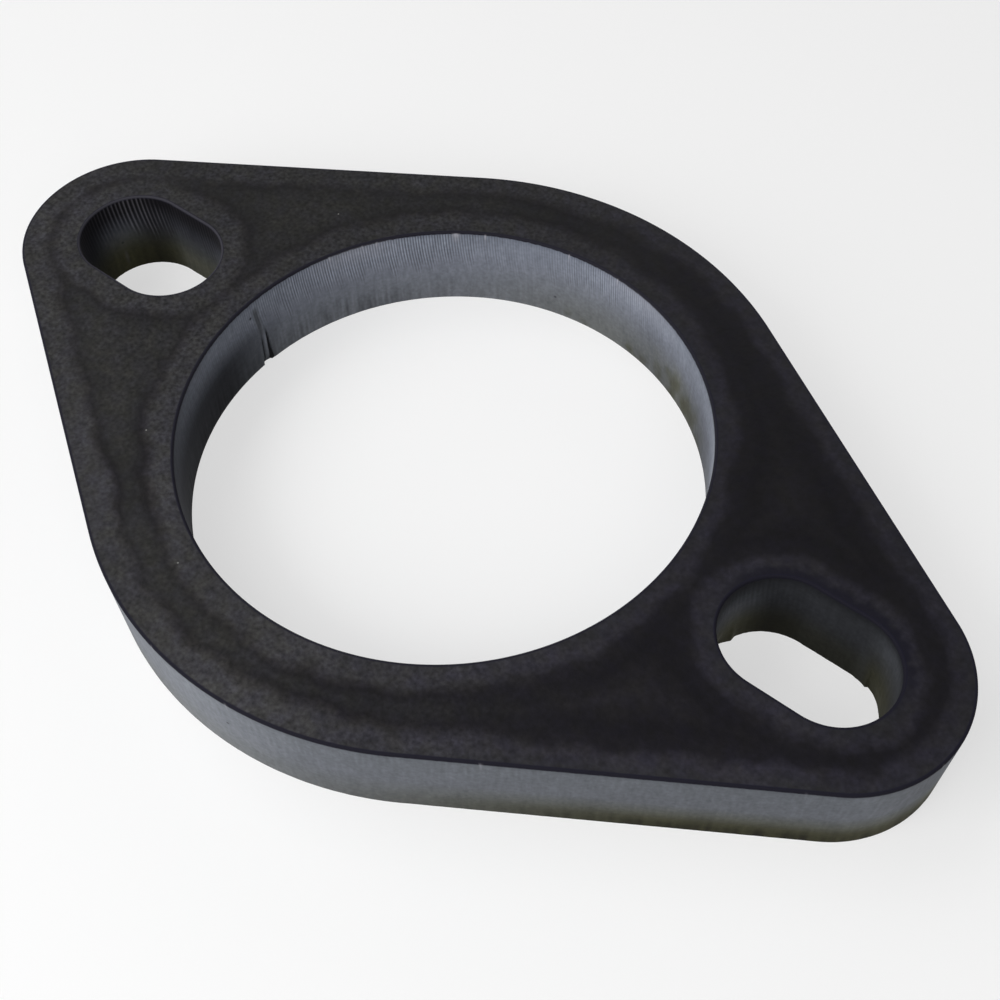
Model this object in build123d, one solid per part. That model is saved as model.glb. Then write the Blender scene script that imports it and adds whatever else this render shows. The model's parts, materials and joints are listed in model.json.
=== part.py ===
"""Two-bolt exhaust flange, cut in one piece by laser from hot-rolled mild-steel plate.

Millimetres, +Z up. The origin is the middle of the bore on the underside.
The two bolt slots lie along X. The beam entered at the top face, so every cut wall is
straight and clean near the top and opens out a little towards the underside.
"""

from build123d import *

import math
import os

# Plate
PLATE_THICKNESS = 10.0

# Bore, which takes the pipe
PIPE_DIAMETER = 50.8
PIPE_CLEARANCE = 0.3
BODY_WALL = 8.6  # steel between the bore and the arcs beside it

# Bolt slots, 80 apart from middle to middle
BOLT_DIAMETER = 10.0
BOLT_CLEARANCE = 0.7
SLOT_TRAVEL = 5.0  # how far a bolt can move along its slot
SLOT_WEB = 6.1  # steel between the bore and each slot
END_WALL = 6.1  # steel round the outer end of each slot

# Laser cut
STRAIGHT_DEPTH = 5.5  # from the top face, before the wall starts to open out
BORE_FLARE = 0.24  # on the radius, at the underside
SLOT_FLARE = 0.12
EDGE_RADIUS = 0.2  # beam entry edge, round every top edge

# Notch in the bore wall where its cut began and ended
NOTCH_ANGLE = 177.4
NOTCH_WIDTH = 1.3
NOTCH_DEPTH = 0.38  # at the underside, behind the flared wall
NOTCH_HEIGHT = 4.6  # where it runs out

bore_radius = PIPE_DIAMETER / 2 + PIPE_CLEARANCE
body_radius = bore_radius + BODY_WALL
slot_radius = BOLT_DIAMETER / 2 + BOLT_CLEARANCE
slot_centre = bore_radius + SLOT_WEB + slot_radius + SLOT_TRAVEL / 2
end_radius = slot_radius + END_WALL
end_centre = slot_centre + SLOT_TRAVEL / 2
flare_height = PLATE_THICKNESS - STRAIGHT_DEPTH


def tangent_outline():
    """The plate's outline: an arc over the bore and one round each slot, joined by tangent lines."""
    # The line's normal leans by this much from Y, because the two radii differ
    lean = math.asin((body_radius - end_radius) / end_centre)
    across, along = math.cos(lean), math.sin(lean)
    body_touch = (body_radius * along, body_radius * across)
    end_touch = (end_centre + end_radius * along, end_radius * across)
    quarter = [
        RadiusArc((0, body_radius), body_touch, body_radius),
        Line(body_touch, end_touch),
        RadiusArc(end_touch, (end_centre + end_radius, 0), end_radius),
    ]
    half = quarter + [edge.mirror(Plane.XZ) for edge in quarter]
    return make_face(half + [edge.mirror(Plane.YZ) for edge in half])


def bore_cut():
    """The bore, straight through the plate and opening out towards the underside."""
    straight = Pos(0, 0, PLATE_THICKNESS / 2) * Cylinder(bore_radius, PLATE_THICKNESS)
    flare = Pos(0, 0, flare_height / 2) * Cone(bore_radius + BORE_FLARE, bore_radius, flare_height)
    return straight + flare


def slot_profile(radius):
    """A bolt slot's outline, with its length along X."""
    return SlotCenterToCenter(SLOT_TRAVEL, 2 * radius)


def slot_cut():
    """One bolt slot, made at the origin."""
    straight = extrude(slot_profile(slot_radius), PLATE_THICKNESS)
    flare = extrude(
        slot_profile(slot_radius + SLOT_FLARE),
        flare_height,
        taper=math.degrees(math.atan2(SLOT_FLARE, flare_height)),
    )
    return straight + flare


def notch_cut():
    """The wedge that the beam left in the bore wall, deepest at the underside."""
    side = make_face(
        Polyline(
            (0, 0),
            (bore_radius + BORE_FLARE + NOTCH_DEPTH, 0),
            (bore_radius, NOTCH_HEIGHT),
            (0, NOTCH_HEIGHT),
            close=True,
        )
    )
    return Rot(0, 0, NOTCH_ANGLE) * extrude(Plane.XZ * side, NOTCH_WIDTH / 2, both=True)


def flange_plate():
    """The whole flange."""
    plate = extrude(tangent_outline(), PLATE_THICKNESS)
    plate -= bore_cut()
    for x in (-slot_centre, slot_centre):
        plate -= Pos(x, 0, 0) * slot_cut()
    top_edges = plate.faces().sort_by(Axis.Z)[-1].edges()
    plate = fillet(top_edges, EDGE_RADIUS)
    return plate - notch_cut()


os.makedirs("parts", exist_ok=True)
export_step(flange_plate(), "parts/flange_plate.step")
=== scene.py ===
"""A two-bolt exhaust flange as it left the laser: striated cut walls, a burnt rim and mill scale on both faces.

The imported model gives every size. One mesh of the whole plate stands in for it and adds what the beam left behind.
"""

import json
import math

import bmesh
import bpy
from mathutils import Matrix, Vector, noise


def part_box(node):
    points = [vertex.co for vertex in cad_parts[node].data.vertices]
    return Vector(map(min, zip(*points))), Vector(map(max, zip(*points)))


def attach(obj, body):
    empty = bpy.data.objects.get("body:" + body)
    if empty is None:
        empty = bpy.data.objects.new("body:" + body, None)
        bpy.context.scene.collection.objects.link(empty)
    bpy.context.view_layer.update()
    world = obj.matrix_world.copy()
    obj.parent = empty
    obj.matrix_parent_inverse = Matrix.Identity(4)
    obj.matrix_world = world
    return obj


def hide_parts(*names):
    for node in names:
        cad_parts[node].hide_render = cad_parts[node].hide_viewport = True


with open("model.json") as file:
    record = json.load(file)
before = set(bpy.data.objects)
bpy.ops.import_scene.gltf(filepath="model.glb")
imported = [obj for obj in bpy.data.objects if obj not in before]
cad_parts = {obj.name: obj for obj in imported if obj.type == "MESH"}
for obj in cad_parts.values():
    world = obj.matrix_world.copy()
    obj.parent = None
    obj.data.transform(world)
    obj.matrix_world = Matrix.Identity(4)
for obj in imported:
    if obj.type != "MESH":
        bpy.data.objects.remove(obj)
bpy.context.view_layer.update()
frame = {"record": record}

# Lengths are in millimetres until a finished mesh is scaled to metres
MM = 0.001

# The plate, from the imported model. Its facets fall just inside the true arcs, so its box is rounded
BOX_DIGITS = 1
mounts = {mount["name"]: mount["dims"] for mount in frame["record"]["mounts"]}
plate_low, plate_high = (Vector(corner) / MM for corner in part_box("flange_plate"))
THICKNESS = plate_high.z - plate_low.z
BORE_RADIUS = mounts["bore"]["r_mm"]
SLOT_RADIUS = mounts["bolt_slots"]["hole_r_mm"]
SLOT_X = mounts["bolt_slots"]["spacing_x_mm"] / 2
SLOT_TRAVEL = mounts["bolt_slots"]["slot_length_mm"] - 2 * SLOT_RADIUS
BODY_RADIUS = round(plate_high.y, BOX_DIGITS)
END_X = SLOT_X + SLOT_TRAVEL / 2
END_RADIUS = round(plate_high.x, BOX_DIGITS) - END_X

# Circles on the X axis, each (x, radius), that every cut line wraps round
OUTLINE = [(-END_X, END_RADIUS), (0.0, BODY_RADIUS), (END_X, END_RADIUS)]
BORE = [(0.0, BORE_RADIUS)]
LEFT_SLOT = [(-SLOT_X - SLOT_TRAVEL / 2, SLOT_RADIUS), (-SLOT_X + SLOT_TRAVEL / 2, SLOT_RADIUS)]
RIGHT_SLOT = [(SLOT_X - SLOT_TRAVEL / 2, SLOT_RADIUS), (SLOT_X + SLOT_TRAVEL / 2, SLOT_RADIUS)]

# Laser cut
RIM_RADIUS = 0.2
STRAIGHT_DEPTH = 5.5  # below this the walls of the bore and slots open out
BORE_FLARE = 0.24
SLOT_FLARE = 0.12
STRIATION_PITCH = 0.29
SLOT_STRIATION_PITCH = 0.46
LAG_DEPTH = 5.5  # below this the drag lines run straight down
LAG = 0.45  # how far the bore's drag lines trail the beam there
SLOT_LAG = 0.45
RIM_STEPS = 3

# Where the bore's wall shows its marks, in degrees round it from +X
NOTCH_AT = 177.4
COMBED_AT = 148.0  # the drag lines are sharpest here, and fairly sharp at the second place
COMBED_AGAIN_AT = 88.0
DRIPS_AT = 158.0
STAIN_AT = 60.0
BORE_FLECKS = [(156.9, 0.6), (148.6, 0.4), (145.1, 0.5), (126.2, 1.4), (119.2, 0.4), (98.4, 0.3), (84.9, 0.3)]

# What each point of a cut wall carries for its material: the drag lines, from -1 on a ridge to 1 in a
# groove, its soot with painted shade, its straw colour, and its pale marks with painted highlights
TONES = ("groove", "soot_and_shade", "straw", "pale_marks_and_highlight")

# Patterns, by the size of what they show
CLOUD = 9.0
TIDE_PATCH = 14.0
TINT = 1.6
MOTTLE = 0.9
GRAIN = 0.42
TIDE_WANDER = 4.5
TIDE_REACH = 8.0  # how far in from a cut its heat marked the mill scale
SPECK_SPACING = 2.2
PIT_SPACING = 1.7

# Surroundings
FLOOR_SIZE = 4000.0
FLOOR_GAP = 0.01


class CutLine:
    """The closed line that the beam followed round some circles on the X axis, counterclockwise."""

    def __init__(self, circles):
        there = sorted(circles, reverse=True)
        ring = there + there[-2:0:-1]
        leave = [self.tangent_angle(a, b) for a, b in zip(ring, ring[1:] + ring[:1])]
        self.pieces = []
        self.length = 0.0
        for here, after, arrived, left in zip(ring, ring[1:] + ring[:1], leave[-1:] + leave[:-1], leave):
            turned = (left - arrived) % math.tau or math.tau
            self.add_piece(here, left - turned, here[1] * turned, 1 / here[1])
            if len(ring) > 1:
                straight = math.sqrt((after[0] - here[0]) ** 2 - (after[1] - here[1]) ** 2)
                self.add_piece(here, left, straight, 0.0)

    @staticmethod
    def tangent_angle(a, b):
        """Which way the straight from circle a to circle b faces."""
        right, left = max(a, b), min(a, b)
        if right == left:
            return math.tau
        angle = math.acos((left[1] - right[1]) / (right[0] - left[0]))
        return angle if a == right else math.tau - angle

    def add_piece(self, circle, angle, length, turn):
        self.pieces.append((self.length, circle, angle, turn))
        self.length += length

    def at(self, along):
        """The point this far along the line, and the way the line faces there."""
        along %= self.length
        start, (centre, radius), angle, turn = next(p for p in reversed(self.pieces) if p[0] <= along)
        done = along - start
        facing = angle + done * turn
        slide = 0.0 if turn else done
        point = Vector((centre + radius * math.cos(facing), radius * math.sin(facing), 0.0))
        point += slide * Vector((-math.sin(angle), math.cos(angle), 0.0))
        return point, Vector((math.cos(facing), math.sin(facing), 0.0))


def step(value, start, end):
    """0 before start, 1 past end and a smooth change between."""
    share = min(max((value - start) / (end - start), 0.0), 1.0)
    return share * share * (3 - 2 * share)


def bump(value, centre, width):
    """1 at the centre and 0 from one width away."""
    return 1 - step(abs(value - centre), 0.0, width)


def wobble(x, y, z):
    """Smooth noise from -1 to 1 with features about one unit across."""
    return noise.noise(Vector((x, y, z)))


def rows_below(depths):
    """Rows of a wall as (depth, setback): round the rim, then down to the underside."""
    rim = []
    for i in range(RIM_STEPS):
        angle = math.pi / 2 * i / RIM_STEPS
        rim.append((RIM_RADIUS * (1 - math.cos(angle)), RIM_RADIUS * (1 - math.sin(angle))))
    return rim + [(depth, 0.0) for depth in (RIM_RADIUS, *depths, THICKNESS)]


def striation(column, depth, pitch, reach):
    """Drag lines, one for every pitch, from -1 on a ridge to 1 in a groove. They end about this far down."""
    drift = 0.35 * wobble(column * 0.5, 3.1, 0.0)
    uneven = 0.85 + 0.4 * wobble(column * 0.45 / pitch, 9.7, 0.0)
    length = reach * (0.9 + 0.5 * wobble(column * 0.35 / pitch, 0.5, 0.0))
    fade = step(depth, 0.0, 0.4) * (1 - step(depth, 0.6 * length, length))
    return uneven * fade * math.cos(math.tau * (column / pitch + drift))


def opened(depth, flare):
    """How far the wall has opened out at this depth, for this much by the underside."""
    return flare * max(0.0, depth - STRAIGHT_DEPTH) / (THICKNESS - STRAIGHT_DEPTH)


def bore_cut(facing, column, depth):
    """How far the bore's wall lies behind its radius, then its tones.

    Facing is the angle round the cut in degrees. Column is the distance along it at the top face, because
    the drag lines trail the beam.
    """
    strength = 0.15 + min(1.5 * bump(facing, COMBED_AT, 42), 0.9) + 0.55 * bump(facing, COMBED_AGAIN_AT, 22)
    groove = strength * striation(column, depth, STRIATION_PITCH, 5.6)
    low = step(depth, 5.5, 9.0)
    drips = low * (0.12 + 0.88 * bump(facing, DRIPS_AT, 30)) * wobble(column / 0.32, depth / 4, 1.7)
    behind = 0.016 * groove + 0.03 * drips + opened(depth, BORE_FLARE)
    # The notch: two grooves with a ridge between them, running out of a bite in the bottom edge
    off = facing - NOTCH_AT
    thin = bump(off, 0.75, 0.6) * step(depth, 4.2, 6.6)
    spread = 0.13 + 0.09 * max(depth - 3.5, 0.0)
    broad = (1 - step(abs(off + 0.4 + spread), 0.6 * spread, 1.3 * spread)) * step(depth, 3.9, 6.0)
    ridge = bump(off, 0.05, 0.6) * step(depth, 4.5, 6.0) * (1 - step(depth, 8.0, 9.6))
    bite = (1 - step(abs(off - 0.25), 1.0, 1.3)) * step(depth, 9.0, 9.6) * (0.7 + 0.3 * step(off, -0.8, 0.6))
    behind += max(0.3 * thin, 0.22 * broad * (1 - 0.8 * step(depth, 8.5, 9.7)), 0.36 * bite)
    smear = bump(off, 1.65 - 0.19 * depth, 1.5) * step(depth, 1.1, 1.7) * (1 - step(depth, 4.5, 7.0))
    low_down = step(depth, 1.0, 5.5)
    # A dull film over the wall, lifted near the top where the wall faces a lamp, at about 78 and 160 degrees: a
    # painted highlight
    dull_and_glint = 0.13 + 0.08 * low_down - 0.13 * (1 - low_down) * max(bump(facing, 160, 34), bump(facing, 78, 20))
    dull_and_glint += 0.07 * bump(facing, 118, 28) * (1 - step(depth, 0.8, 2.6))
    dull_and_glint += 0.15 * bump(facing, 69, 24) * step(depth, 1.2, 3.8)
    dull_and_glint -= 0.08 * bump(facing, 156, 26) * low_down * (1 - step(depth, 6.0, 9.5))
    right = (0.25 + 0.3 * low_down) * bump(facing, 44, 38)
    # Painted shade: near black where the bore's wall faces away from the lamps, from about 180 degrees round, lower
    # down from about 165
    left = (1 - step(facing, 245, 290)) * 0.93
    left *= (1 - low_down) * step(facing, 178, 238) + low_down * step(facing, 162, 194)
    soot_and_shade = max(0.62 * smear, 0.95 * thin, 0.94 * broad, dull_and_glint, right, left) * (1 - 0.7 * ridge) + 0.5 * drips
    patchy = step(wobble(column / 1.5, depth / 2.2, 4.4), -0.25, 0.4)
    stain = bump(facing, STAIN_AT, 26) * step(depth, 3.0, 7.5) * (0.6 + 0.4 * patchy)
    foot = bump(facing, 86, 34) * step(depth, 7.2, 9.6) * patchy
    soot_and_shade += 0.14 * stain * step(depth, 4.5, 8.0) + 0.16 * foot
    warm = max((0.14 + 0.24 * bump(facing, 84, 46)) * step(depth, 1.0, 9.0), 0.8 * foot, 0.2 * smear)
    brightening = 0.8 * max(bump(facing, place, width) for place, width in BORE_FLECKS)
    # Painted sheen near the top where the wall faces a lamp, at about 77 and 151 degrees, kept with the pale flecks
    sheen = 0.22 * bump(facing, 151, 16) + 0.18 * bump(facing, 77, 18)
    brightening = max(brightening * (1 - step(depth, 0.35, 1.2)), sheen * (1 - step(depth, 0.6, 2.8)))
    return behind, groove, soot_and_shade, max(0.8 * stain, warm), brightening * step(depth, 0.1, 0.3)


def slot_cut(facing, column, depth):
    """The same for a bolt slot: coarser drag lines, black near the top, partly from the heat and partly painted
    shade under the rim.
    """
    combed = 0.15 + 0.85 * bump(facing, 145, 56)
    combed *= 1 - 0.9 * bump(facing, 108, 32) * (1 - step(depth, 0.8, 2.4))
    groove = combed * striation(column, depth, SLOT_STRIATION_PITCH, 6.2)
    low = step(depth, 4.0, 9.0)
    drips = low * wobble(column / 0.4, depth / 5, 5.2)
    behind = 0.028 * groove + 0.03 * drips + opened(depth, SLOT_FLARE)
    soot_and_shade = 1.0 - 0.03 * step(depth, 0.8, 3.5) - 0.15 * step(depth, 3.0, 8.0) + 0.06 * drips
    right_end = bump(facing, 46, 74)
    soot_and_shade -= 0.5 * step(depth, 1.5, 8.0) * right_end + 0.24 * step(depth, 5.5, 8.5) * bump(facing, 84, 44)
    soot_and_shade -= 0.4 * step(depth, 1.5, 5.5) * bump(facing, 166, 42)
    straw = step(depth, 2.5, 8.0) * (0.95 - 0.55 * right_end)
    # Painted highlights: the ridges of the drag lines, and a thin line along the rim
    ridge_and_rim_highlight = max(0.17 * max(-groove, 0.0), 0.06 * (1 - step(depth, 0.08, 0.2)))
    scratch = 0.12 * bump(facing, 163, 3.5) * bump(depth, 8.0, 1.4)
    return behind, groove, soot_and_shade, straw, max(ridge_and_rim_highlight, scratch)


def right_slot_cut(facing, column, depth):
    """The right slot, smoother, with two nicks in its bottom edge."""
    behind, groove, _, straw, _ = slot_cut(facing, column, depth)
    low = step(depth, 7.5, 9.6)
    nick = 0.22 * step(facing, 163, 171) * (1 - step(facing, 185, 200)) - 0.22 * bump(facing, 158, 7)
    ledge = 0.24 * step(facing, 35, 62) * (1 - step(facing, 67, 69))
    # Near black at the top, partly from the heat and partly painted shade under the rim
    soot_and_shade = 0.95 - 0.04 * step(depth, 0.3, 1.6) - 0.07 * step(depth, 4.0, 8.0) * (1 - bump(facing, 122, 40))
    soot_and_shade -= 0.34 * step(depth, 1.0, 4.0) * bump(facing, 163, 42)
    soot_and_shade -= (0.1 + 0.12 * step(depth, 3.0, 9.0)) * step(depth, 0.1, 1.5) * bump(facing, 50, 46)
    straw = max(straw, 0.2 + 0.75 * step(depth, 2.0, 7.5) * (1 - step(facing, 66, 90)))
    return behind - 0.015 * groove + low * (nick + ledge), 0.3 * groove, soot_and_shade, straw, 0.0


def outline_cut(facing, column, depth):
    """The same for the outer wall, nearly smooth and dark along its foot, and lighter where it faces the lamps at
    the front, which is painted light.
    """
    groove = 0.07 * striation(column, depth, STRIATION_PITCH * 2, 6.0)
    drips = step(depth, 6.0, 9.5) * wobble(column / 0.6, depth / 5, 7.4)
    dark = max(step(column, 222, 260), 1 - step(column, 147, 154))
    foot = step(depth, 6.0 + 2.0 * wobble(column / 3, 0.0, 2.2), 10.0)
    # Painted light: less dark where the wall faces the key and front lamps, at about 270 and 322 degrees
    soot_and_shade = 0.34 - 0.17 * bump(facing, 270, 22) + 0.08 * dark - 0.15 * bump(facing, 322, 26)
    soot_and_shade += dark * foot * (0.42 + 0.25 * drips)
    soot_and_shade = max(soot_and_shade, 0.85 * (1 - step(depth, 0.16, 0.34)))
    straw = 0.18 + (0.1 + 0.7 * dark) * step(depth, 4.5, 9.0)
    brightening = 0.35 * step(wobble(column / 0.9, 8.8, 0.0), 0.5, 0.65) * bump(depth, 0.3, 0.3)
    return 0.004 * groove + 0.01 * drips, groove, soot_and_shade, straw, brightening


def cut_wall(bm, circles, spacing, rows, into_steel, lag, cut):
    """The wall that one cut left, from the top face to the underside. Returns its top and bottom edges."""
    along = bm.verts.layers.float["along"]
    row_of = bm.verts.layers.int["row"]
    tones = [bm.verts.layers.float[name] for name in TONES]
    line = CutLine(circles)
    columns = round(line.length / spacing)
    ring = bmesh.ops.create_circle(bm, segments=columns, radius=1.0)["verts"]
    for i, vert in enumerate(ring):
        vert[along] = line.length * i / columns
    edges = list({edge for vert in ring for edge in vert.link_edges})
    verts = list(ring)
    rims = [edges]
    for row in range(1, len(rows)):
        made = bmesh.ops.extrude_edge_only(bm, edges=edges)["geom"]
        fresh = {item for item in made if isinstance(item, bmesh.types.BMVert)}
        edges = [item for item in made if isinstance(item, bmesh.types.BMEdge) and fresh.issuperset(item.verts)]
        for vert in fresh:
            vert[row_of] = row
        verts += fresh
    rims.append(edges)
    for vert in verts:
        depth, setback = rows[vert[row_of]]
        column = vert[along]
        trail = lag * min(depth / LAG_DEPTH, 1.0) ** 2
        point, outward = line.at(column - trail)
        facing = math.degrees(math.atan2(outward.y, outward.x)) % 360
        behind, *shades = cut(facing, column, depth)
        for layer, shade in zip(tones, shades):
            vert[layer] = shade
        vert.co = point + outward * into_steel * (setback + behind)
        vert.co.z = THICKNESS - depth
    return rims


def flange():
    """The whole plate as one closed mesh."""
    bm = bmesh.new()
    for name in ("along", *TONES):
        bm.verts.layers.float.new(name)
    bm.verts.layers.int.new("row")
    fine = rows_below([0.35, 0.9, 1.8, 2.8, 3.8, 4.8, 5.8, 6.8, 7.8, 8.7, 9.3, 9.7])
    coarse = rows_below([0.35, 1.5, 3.2, 5.0, 6.8, 8.2, 9.2, 9.7])
    walls = [
        cut_wall(bm, OUTLINE, 0.2, coarse, -1, LAG, outline_cut),
        cut_wall(bm, BORE, STRIATION_PITCH / 5, fine, 1, LAG, bore_cut),
        cut_wall(bm, LEFT_SLOT, SLOT_STRIATION_PITCH / 7, fine, 1, SLOT_LAG, slot_cut),
        cut_wall(bm, RIGHT_SLOT, SLOT_STRIATION_PITCH / 7, fine, 1, SLOT_LAG, right_slot_cut),
    ]
    for face in bm.faces:
        face.smooth = True
        face.material_index = 1
    for rims in zip(*walls):
        bmesh.ops.triangle_fill(bm, edges=[edge for rim in rims for edge in rim], use_beauty=True)
    for top, bottom in walls:
        for edge in bottom:
            edge.smooth = False
    bmesh.ops.recalc_face_normals(bm, faces=bm.faces)
    bmesh.ops.scale(bm, vec=(MM, MM, MM), verts=bm.verts)
    bm.verts.layers.float.remove(bm.verts.layers.float["along"])
    bm.verts.layers.int.remove(bm.verts.layers.int["row"])
    mesh = bpy.data.meshes.new("flange")
    bm.to_mesh(mesh)
    bm.free()
    piece = bpy.data.objects.new("flange", mesh)
    bpy.context.collection.objects.link(piece)
    return piece


def linear(code):
    """An sRGB hex colour as linear RGBA."""
    parts = [int(code[i : i + 2], 16) / 255 for i in (1, 3, 5)]
    return [p / 12.92 if p <= 0.04045 else ((p + 0.055) / 1.055) ** 2.4 for p in parts] + [1.0]


def add(tree, kind, inputs=None, stops=None, **settings):
    """Add a node with its settings, its input values or links, and a colour ramp's stops."""
    made = tree.nodes.new(kind)
    for name, value in settings.items():
        setattr(made, name, value)
    for socket, value in (inputs or {}).items():
        if isinstance(value, bpy.types.NodeSocket):
            tree.links.new(value, made.inputs[socket])
        else:
            made.inputs[socket].default_value = value
    for i, (place, colour) in enumerate(stops or []):
        element = made.color_ramp.elements[i] if i < 2 else made.color_ramp.elements.new(place)
        element.position = place
        element.color = colour
    return made


def new_material(name):
    material = bpy.data.materials.new(name)
    material.use_nodes = True
    material.node_tree.nodes.clear()
    return material, material.node_tree


def millimetres(tree):
    """Object coordinates in millimetres."""
    place = add(tree, "ShaderNodeTexCoord").outputs["Object"]
    return add(tree, "ShaderNodeVectorMath", {0: place, "Scale": 1 / MM}, operation="SCALE").outputs["Vector"]


def to_cut_edges(tree, point):
    """How far a point of the top face or underside lies from the nearest cut edge, and from a slot's edge."""
    axes = add(tree, "ShaderNodeSeparateXYZ", {0: point}).outputs
    x = add(tree, "ShaderNodeMath", {0: axes["X"]}, operation="ABSOLUTE").outputs[0]
    y = add(tree, "ShaderNodeMath", {0: axes["Y"]}, operation="ABSOLUTE").outputs[0]
    gaps = []
    for centre, half_travel, radius in ((0.0, 0.0, BORE_RADIUS), (SLOT_X, SLOT_TRAVEL / 2, SLOT_RADIUS)):
        beside = add(tree, "ShaderNodeMath", {0: x, 1: centre}, operation="SUBTRACT").outputs[0]
        beside = add(tree, "ShaderNodeMath", {0: beside}, operation="ABSOLUTE").outputs[0]
        beside = add(tree, "ShaderNodeMath", {0: beside, 1: half_travel}, operation="SUBTRACT").outputs[0]
        beside = add(tree, "ShaderNodeMath", {0: beside, 1: 0.0}, operation="MAXIMUM").outputs[0]
        away = add(tree, "ShaderNodeCombineXYZ", {"X": beside, "Y": y}).outputs[0]
        away = add(tree, "ShaderNodeVectorMath", {0: away}, operation="LENGTH").outputs["Value"]
        gaps.append(add(tree, "ShaderNodeMath", {0: away, 1: radius}, operation="SUBTRACT").outputs[0])
    # The outline is a hull of circles that shrink from the middle to the ends. The one nearest this point
    # lies this share of the way out, because the straights lean by this much from the X axis
    taper = BODY_RADIUS - END_RADIUS
    lean = math.asin(taper / END_X)
    share = add(tree, "ShaderNodeMath", {0: x, 1: END_X}, operation="DIVIDE").outputs[0]
    share = add(
        tree,
        "ShaderNodeMath",
        {0: y, 1: -math.tan(lean) / END_X, 2: share},
        operation="MULTIPLY_ADD",
        use_clamp=True,
    ).outputs[0]
    beside = add(tree, "ShaderNodeMath", {0: share, 1: -END_X, 2: x}, operation="MULTIPLY_ADD").outputs[0]
    radius = add(tree, "ShaderNodeMath", {0: share, 1: -taper, 2: BODY_RADIUS}, operation="MULTIPLY_ADD").outputs[0]
    away = add(tree, "ShaderNodeCombineXYZ", {"X": beside, "Y": y}).outputs[0]
    away = add(tree, "ShaderNodeVectorMath", {0: away}, operation="LENGTH").outputs["Value"]
    gap = add(tree, "ShaderNodeMath", {0: radius, 1: away}, operation="SUBTRACT").outputs[0]
    for other in gaps:
        gap = add(tree, "ShaderNodeMath", {0: gap, 1: other}, operation="MINIMUM").outputs[0]
    return gap, gaps[1]


def noise_at(tree, point, size, detail, dimensions="3D"):
    """Noise with features about this many millimetres across, from 0 to 1."""
    inputs = {"Vector": point, "Scale": 1 / size, "Detail": detail}
    return add(tree, "ShaderNodeTexNoise", inputs, noise_dimensions=dimensions).outputs["Fac"]


def dots(tree, point, spacing, share, radius, dimensions):
    """1 on small soft dots. This share of the cells, spaced this far apart, holds one."""
    inputs = {"Vector": point, "Scale": 1 / spacing}
    cells = add(tree, "ShaderNodeTexVoronoi", inputs, voronoi_dimensions=dimensions).outputs
    edge = {"Value": cells["Distance"], 1: radius / spacing, 2: 0.3 * radius / spacing}
    near = add(tree, "ShaderNodeMapRange", edge)
    few = add(tree, "ShaderNodeMath", {0: cells["Color"], 1: 1 - share}, operation="GREATER_THAN")
    return add(tree, "ShaderNodeMath", {0: near.outputs[0], 1: few.outputs[0]}, operation="MULTIPLY").outputs[0]


def tinted(tree, fac, tone, other):
    """The first tone, and the other where fac is 1."""
    return add(tree, "ShaderNodeMix", {0: fac, 6: tone, 7: other}, data_type="RGBA").outputs[2]


def scaled(tree, tone, value, low, high):
    """The tone made darker or lighter as a noise goes from its low to its high end."""
    spread = add(tree, "ShaderNodeMapRange", {"Value": value, 1: 0.28, 2: 0.72, 3: low, 4: high})
    return add(tree, "ShaderNodeVectorMath", {0: tone, "Scale": spread.outputs[0]}, operation="SCALE").outputs[0]


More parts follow.
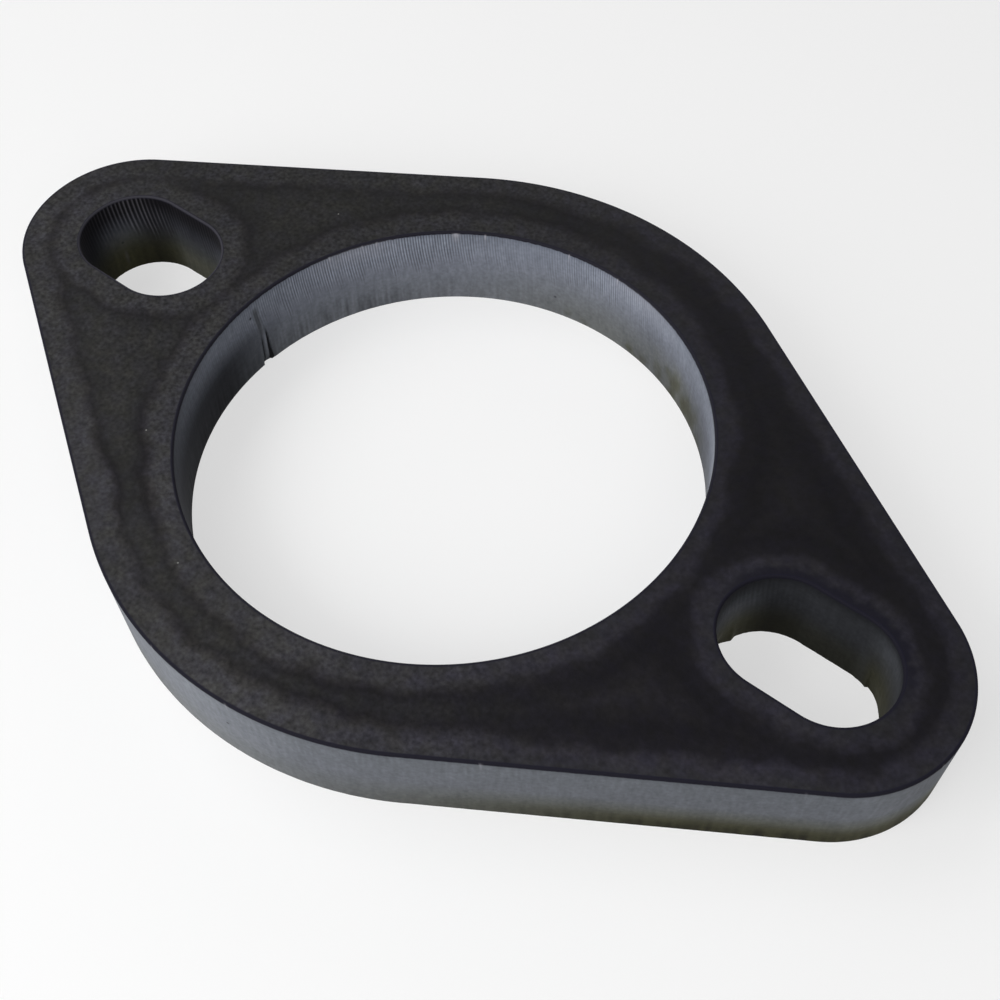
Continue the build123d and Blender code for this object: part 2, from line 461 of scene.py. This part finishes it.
def mill_scale():
    """Hot-rolled mill scale: a matt blue-black skin of oxide, mottled like fine leather.

    It reads almost black, with tide marks where the heat of each cut crept in, and takes no clear reflection.
    """
    material, tree = new_material("mill_scale_hot_rolled")
    point = millimetres(tree)
    to_cut, to_slot = to_cut_edges(tree, point)
    swirl = noise_at(tree, point, TIDE_WANDER, 5.0)
    tide = add(tree, "ShaderNodeMath", {0: swirl, 1: 3.4, 2: to_cut}, operation="MULTIPLY_ADD").outputs[0]
    tide = add(tree, "ShaderNodeMapRange", {"Value": tide, 1: 1.7, 2: 1.7 + TIDE_REACH}).outputs[0]
    thin_stops = [
        (0.0, linear("#2a2a2c")),
        (0.26, linear("#2d2d2f")),
        (0.35, linear("#201f21")),
        (0.41, linear("#111012")),
        (0.5, linear("#1b1b1c")),
        (0.72, linear("#232323")),
    ]
    thick_and_shaded_stops = [
        (0.0, linear("#242428")),
        (0.2, linear("#25242a")),
        (0.32, linear("#131216")),
        (0.55, linear("#0d0c10")),
        (0.85, linear("#18171a")),
    ]
    thin = add(tree, "ShaderNodeValToRGB", {0: tide}, thin_stops).outputs[0]
    thick_and_shaded = add(tree, "ShaderNodeValToRGB", {0: tide}, thick_and_shaded_stops).outputs[0]
    patch = noise_at(tree, point, TIDE_PATCH, 2.0)
    patch = add(tree, "ShaderNodeMapRange", {"Value": patch, 1: 0.35, 2: 0.62, 3: 0.45, 4: 0.0}).outputs[0]
    thin = tinted(tree, patch, thin, linear("#262626"))
    # Darker towards +X and +Y: partly a thicker skin, partly painted shade where the lamps' light falls off
    across = add(tree, "ShaderNodeVectorMath", {0: point, 1: (1.0, 0.35, 0.0)}, operation="DOT_PRODUCT").outputs["Value"]
    side = add(tree, "ShaderNodeMapRange", {"Value": across, 1: -12.0, 2: 28.0}, interpolation_type="SMOOTHSTEP").outputs[0]
    tone = tinted(tree, side, thin, thick_and_shaded)
    back = add(tree, "ShaderNodeSeparateXYZ", {0: point}).outputs["Y"]
    # Painted light: the face is lighter towards -Y, the side of the key lamp
    painted_front_light = add(tree, "ShaderNodeMapRange", {"Value": back, 1: -34.0, 2: 10.0, 3: 1.75, 4: 0.93}).outputs[0]
    tone = add(tree, "ShaderNodeVectorMath", {0: tone, "Scale": painted_front_light}, operation="SCALE").outputs[0]
    hue = add(
        tree,
        "ShaderNodeValToRGB",
        {0: noise_at(tree, point, TINT, 3.0)},
        [(0.36, linear("#f8f6ff")), (0.64, linear("#fbf9f0"))],
    ).outputs[0]
    tone = add(tree, "ShaderNodeVectorMath", {0: tone, 1: hue}, operation="MULTIPLY").outputs[0]
    tone = scaled(tree, tone, noise_at(tree, point, CLOUD, 3.0), 0.86, 1.14)
    tone = scaled(tree, tone, noise_at(tree, point, MOTTLE, 3.0), 0.74, 1.26)
    # The grain is crisp on the thin skin, and fainter towards +X and +Y and along the front
    near = add(tree, "ShaderNodeMapRange", {"Value": back, 1: -6.0, 2: -24.0, 4: 0.65}).outputs[0]
    soft = add(tree, "ShaderNodeMath", {0: side, 1: near}, operation="MAXIMUM").outputs[0]
    low = add(tree, "ShaderNodeMapRange", {"Value": soft, 3: 0.3, 4: 0.74}).outputs[0]
    high = add(tree, "ShaderNodeMapRange", {"Value": soft, 3: 1.8, 4: 1.26}).outputs[0]
    grain = noise_at(tree, point, GRAIN, 2.0)
    tone = scaled(tree, tone, grain, low, high)
    # A dark line where the face rolls over into each cut, and a broad burnt one round the right slot
    blotch = noise_at(tree, point, MOTTLE, 2.0)
    ragged = add(tree, "ShaderNodeMath", {0: blotch, 1: 1.6, 2: to_slot}, operation="MULTIPLY_ADD").outputs[0]
    burnt = add(tree, "ShaderNodeMapRange", {"Value": ragged, 1: 1.4, 2: 2.3, 3: 0.9, 4: 0.0}).outputs[0]
    far_side = add(tree, "ShaderNodeMapRange", {"Value": back, 1: -2.0, 2: 4.0}).outputs[0]
    burnt = add(tree, "ShaderNodeMath", {0: burnt, 1: side}, operation="MULTIPLY").outputs[0]
    burnt = add(tree, "ShaderNodeMath", {0: burnt, 1: far_side}, operation="MULTIPLY").outputs[0]
    tone = tinted(tree, burnt, tone, linear("#12111b"))
    rim = add(tree, "ShaderNodeMapRange", {"Value": to_cut, 1: 0.2, 2: 0.34}).outputs[0]
    tone = tinted(tree, rim, linear("#151422"), tone)
    # Pale specks where the skin has chipped to bare metal
    tone = tinted(tree, dots(tree, point, SPECK_SPACING, 0.08, 0.11, "2D"), tone, linear("#8b8b88"))
    bump = add(tree, "ShaderNodeBump", {"Height": grain, "Strength": 0.5, "Distance": 0.08 * MM})
    rough = add(tree, "ShaderNodeMapRange", {"Value": grain, 1: 0.3, 2: 0.7, 3: 0.52, 4: 0.7})
    shader = add(
        tree,
        "ShaderNodeBsdfPrincipled",
        {"Base Color": tone, "Roughness": rough.outputs[0], "Specular IOR Level": 0.08, "Normal": bump.outputs[0]},
    )
    add(tree, "ShaderNodeOutputMaterial", {"Surface": shader.outputs[0]})
    return material


def cut_oxide():
    """Laser-cut mild steel: thin blue-grey oxide with a satin sheen, combed by the drag lines.

    It is pale where the gas kept it clean, straw to olive towards the foot, and black where it overheated
    and where shade is painted on. Pale marks and painted highlights lighten it here and there.
    """
    material, tree = new_material("laser_cut_oxide")
    point = millimetres(tree)
    height = add(tree, "ShaderNodeSeparateXYZ", {0: point}).outputs["Z"]
    depth = add(tree, "ShaderNodeMapRange", {"Value": height, 1: THICKNESS, 2: 0.0}).outputs[0]
    clean_stops = [
        (0.0, linear("#7c828e")),
        (0.09, linear("#8f95a0")),
        (0.45, linear("#9095a1")),
        (0.7, linear("#8d929d")),
        (1.0, linear("#888c95")),
    ]
    tone = add(tree, "ShaderNodeValToRGB", {0: depth}, clean_stops).outputs[0]
    groove, soot_and_shade, straw, pale_marks_and_highlight = [
        add(tree, "ShaderNodeAttribute", attribute_name=name).outputs["Fac"] for name in TONES
    ]
    tone = tinted(tree, straw, tone, linear("#5c5b42"))
    # Soot, and painted shade where the lamps' light falls short
    tone = tinted(tree, soot_and_shade, tone, linear("#09080c"))
    warmed = tinted(tree, straw, linear("#fbfbff"), linear("#fffeee"))
    tone = add(tree, "ShaderNodeVectorMath", {0: tone, 1: warmed}, operation="MULTIPLY").outputs[0]
    shaded = add(tree, "ShaderNodeMapRange", {"Value": groove, 1: -1.0, 3: 1.7, 4: 0.48}).outputs[0]
    tone = add(tree, "ShaderNodeVectorMath", {0: tone, "Scale": shaded}, operation="SCALE").outputs[0]
    upright = add(tree, "ShaderNodeMapping", {"Vector": point, "Scale": (1.0, 1.0, 0.2)}).outputs[0]
    grain = noise_at(tree, point, GRAIN, 2.0)
    tone = scaled(tree, tone, noise_at(tree, upright, GRAIN, 2.0), 0.9, 1.1)
    tone = scaled(tree, tone, grain, 0.88, 1.12)
    tone = scaled(tree, tone, noise_at(tree, point, TINT, 3.0), 0.93, 1.07)
    tone = tinted(tree, dots(tree, point, PIT_SPACING, 0.12, 0.26, "3D"), tone, linear("#25252b"))
    # The rim is burnt indigo where the beam went in, with a ragged lower edge
    ragged = add(tree, "ShaderNodeMath", {0: grain, 1: 0.25, 2: height}, operation="MULTIPLY_ADD").outputs[0]
    rim = add(tree, "ShaderNodeMapRange", {"Value": ragged, 1: THICKNESS - 0.2, 2: THICKNESS - 0.08}).outputs[0]
    tone = tinted(tree, rim, tone, linear("#1a1922"))
    # Pale flecks and scratches, and painted highlights on ridges, along rims and where the wall faces a lamp
    tone = tinted(tree, pale_marks_and_highlight, tone, linear("#c4c2cc"))
    bump = add(tree, "ShaderNodeBump", {"Height": grain, "Strength": 0.2, "Distance": 0.04 * MM})
    rough = add(tree, "ShaderNodeMapRange", {"Value": soot_and_shade, 3: 0.46, 4: 0.8})
    shader = add(
        tree,
        "ShaderNodeBsdfPrincipled",
        {"Base Color": tone, "Roughness": rough.outputs[0], "Specular IOR Level": 0.09, "Normal": bump.outputs[0]},
    )
    add(tree, "ShaderNodeOutputMaterial", {"Surface": shader.outputs[0]})
    return material


def seen_or_felt(tree, seen, felt):
    """One shader for what the camera and reflections see, and another for the light that reaches the plate."""
    path = add(tree, "ShaderNodeLightPath").outputs
    look = path["Is Camera Ray"]
    for other in ("Is Glossy Ray", "Is Transmission Ray"):
        look = add(tree, "ShaderNodeMath", {0: look, 1: path[other]}, operation="MAXIMUM").outputs[0]
    return add(tree, "ShaderNodeMixShader", {0: look, 1: felt.outputs[0], 2: seen.outputs[0]})


def surroundings():
    """A pale floor under a white sky. Both give the plate less light than they show."""
    world = bpy.data.worlds.new("studio")
    bpy.context.scene.world = world
    world.use_nodes = True
    tree = world.node_tree
    tree.nodes.clear()
    seen = add(tree, "ShaderNodeBackground", {"Color": linear("#ffffff"), "Strength": 1.0})
    felt = add(tree, "ShaderNodeBackground", {"Color": linear("#ffffff"), "Strength": 0.07})
    add(tree, "ShaderNodeOutputWorld", {"Surface": seen_or_felt(tree, seen, felt).outputs[0]})

    bm = bmesh.new()
    bmesh.ops.create_grid(bm, x_segments=1, y_segments=1, size=FLOOR_SIZE * MM)
    bmesh.ops.translate(bm, vec=(0, 0, -FLOOR_GAP * MM), verts=bm.verts)
    mesh = bpy.data.meshes.new("floor")
    bm.to_mesh(mesh)
    bm.free()
    floor = bpy.data.objects.new("floor", mesh)
    bpy.context.collection.objects.link(floor)
    material, tree = new_material("pale_matt_floor")
    lit = add(tree, "ShaderNodeBsdfDiffuse", {"Color": linear("#a6a6a6")})
    pale = add(tree, "ShaderNodeEmission", {"Color": linear("#ffffff"), "Strength": 0.6})
    seen = add(tree, "ShaderNodeAddShader", {0: lit.outputs[0], 1: pale.outputs[0]})
    felt = add(tree, "ShaderNodeBsdfDiffuse", {"Color": linear("#8c8c8a")})
    add(tree, "ShaderNodeOutputMaterial", {"Surface": seen_or_felt(tree, seen, felt).outputs[0]})
    mesh.materials.append(material)


def lamp(name, azimuth, elevation, distance, size, watts):
    """A square soft lamp that faces the plate. Azimuth is measured from +X, counterclockwise from above."""
    data = bpy.data.lights.new(name, "AREA")
    data.size = size
    data.energy = watts
    turn = Matrix.Rotation(math.radians(azimuth), 4, "Z") @ Matrix.Rotation(math.radians(90 - elevation), 4, "Y")
    made = bpy.data.objects.new(name, data)
    made.matrix_world = turn @ Matrix.Translation((0, 0, distance))
    bpy.context.collection.objects.link(made)


def camera():
    """The photograph's view: close, from the front right, looking down at the plate."""
    data = bpy.data.cameras.new("camera")
    data.sensor_width = 36.0
    data.lens = 49.02
    data.shift_x = 0.0165
    data.shift_y = 0.0338
    stand = Vector((54.39, -59.24, 112.52)) * MM
    aim = Vector((10.73, -7.51, 10.0)) * MM
    roll = math.radians(-2.45)
    turn = (aim - stand).to_track_quat("-Z", "Y").to_matrix().to_4x4()
    made = bpy.data.objects.new("camera", data)
    made.matrix_world = Matrix.Translation(stand) @ turn @ Matrix.Rotation(roll, 4, "Z")
    bpy.context.collection.objects.link(made)
    bpy.context.scene.camera = made


piece = flange()
piece.data.materials.append(mill_scale())
piece.data.materials.append(cut_oxide())
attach(piece, "root")
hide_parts("flange_plate")
surroundings()
bpy.context.scene.view_settings.view_transform = "Standard"
lamp("key", 256, 35, 0.32, 0.22, 0.68)
lamp("left", 190, 50, 0.55, 0.4, 1.1)
lamp("front", 322, 42, 0.6, 0.4, 0.95)
lamp("back", 115, 22, 0.6, 0.4, 0.35)
camera()
